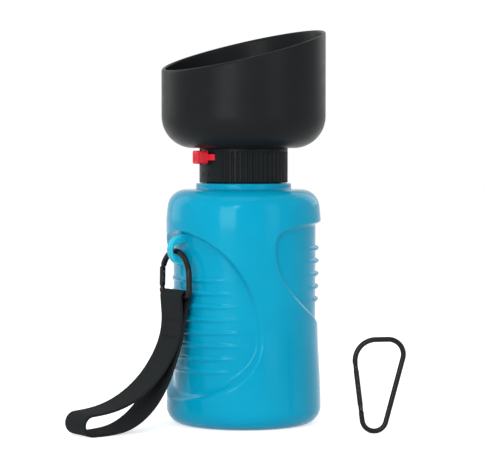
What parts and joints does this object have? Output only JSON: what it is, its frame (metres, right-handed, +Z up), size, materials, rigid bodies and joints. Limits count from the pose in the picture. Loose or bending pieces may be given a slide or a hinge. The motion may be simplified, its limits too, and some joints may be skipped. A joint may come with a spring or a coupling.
{
  "type": "dog travel water bottle",
  "caption": "Blue squeeze bottle with a black fold-over silicone bowl, ribbed cap with red lock lever, snap ring, wrist strap and a spare carabiner.",
  "frame": {"origin": "centre of the bottle's flat base, on the surface it stands on", "axes": "+Z up the bottle's axis, -Y towards the ring lug, the lock lever and the low side of the bowl's rim, +X to the right seen from the front"},
  "size_m": [0.1231, 0.1448, 0.2044],
  "materials": {
    "bottle_plastic": "smooth soft squeeze plastic, satin gloss",
    "cap_plastic": "moulded black plastic, fine matt",
    "lock_plastic": "moulded red plastic",
    "valve_plastic": "plain natural plastic",
    "seal_rubber": "translucent silicone",
    "bowl_silicone": "matt black silicone",
    "webbing": "woven nylon webbing",
    "ring_metal": "black coated wire",
    "pin_steel": "plain steel"
  },
  "bodies": {
    "bottle": {"bottle_shell": "bottle_plastic"},
    "cap_rise": {"neck_gasket": "seal_rubber"},
    "cap": {"cap_shell": "cap_plastic", "valve_seal_lower": "seal_rubber", "valve_seal_upper": "seal_rubber", "cap_deck": "cap_plastic", "outlet_cover": "cap_plastic"},
    "lock": {"valve_disc": "valve_plastic", "lock_slider": "lock_plastic"},
    "bowl": {"bowl": "bowl_silicone"},
    "ring": {"ring_body": "ring_metal"},
    "ring_gate": {"ring_gate": "ring_metal", "ring_gate_pin": "pin_steel", "ring_latch_pin": "pin_steel", "ring_gate_spring": "pin_steel"},
    "strap": {"strap": "webbing"},
    "spare": {"carabiner_body": "ring_metal"},
    "spare_gate": {"carabiner_gate": "ring_metal", "carabiner_gate_pin": "pin_steel", "carabiner_latch_pin": "pin_steel", "carabiner_gate_spring": "pin_steel"}
  },
  "joints": [
    {"name": "cap_rise", "type": "slide", "parent": "bottle", "child": "cap_rise", "axis": [0, 0, 1], "range_m": [0, 0.00605]},
    {"name": "cap_turn", "type": "hinge", "parent": "cap_rise", "child": "cap", "pos_m": [0, 0, 0.13], "axis": [0, 0, 1], "range_deg": [0, 540]},
    {"name": "lock_turn", "type": "hinge", "parent": "cap", "child": "lock", "pos_m": [0, 0, 0.1387], "axis": [0, 0, -1], "range_deg": [0, 24]},
    {"name": "bowl_fold", "type": "slide", "parent": "cap", "child": "bowl", "axis": [0, 0, -1], "range_m": [0, 0.123], "deforming": ["bowl"]},
    {"name": "ring_swing", "type": "hinge", "parent": "bottle", "child": "ring", "pos_m": [0, -0.0412, 0.0902], "axis": [-1, 0, 0], "range_deg": [0, 95]},
    {"name": "ring_gate_turn", "type": "hinge", "parent": "ring", "child": "ring_gate", "pos_m": [-0.013, -0.0412, 0.0728], "axis": [0, 1, 0], "range_deg": [0, 30], "stiffness_Nm_per_rad": 0.02},
    {"name": "strap_swing", "type": "hinge", "parent": "ring", "child": "strap", "pos_m": [0, -0.0412, 0.0674], "axis": [-1, 0, 0], "range_deg": [0, 60]},
    {"name": "spare_lift", "type": "slide", "parent": "bottle", "child": "spare", "axis": [0, 0, 1], "range_m": [0, 0.1]},
    {"name": "spare_gate_turn", "type": "hinge", "parent": "spare", "child": "spare_gate", "pos_m": [0.06782, 0.02582, 0.0123], "axis": [-0.8387, 0.5446, 0], "range_deg": [0, 25], "stiffness_Nm_per_rad": 0.02}
  ],
  "couplings": [
    {"joint": "cap_rise", "follows": "cap_turn", "m_per_rad": 0.00063662}
  ]
}
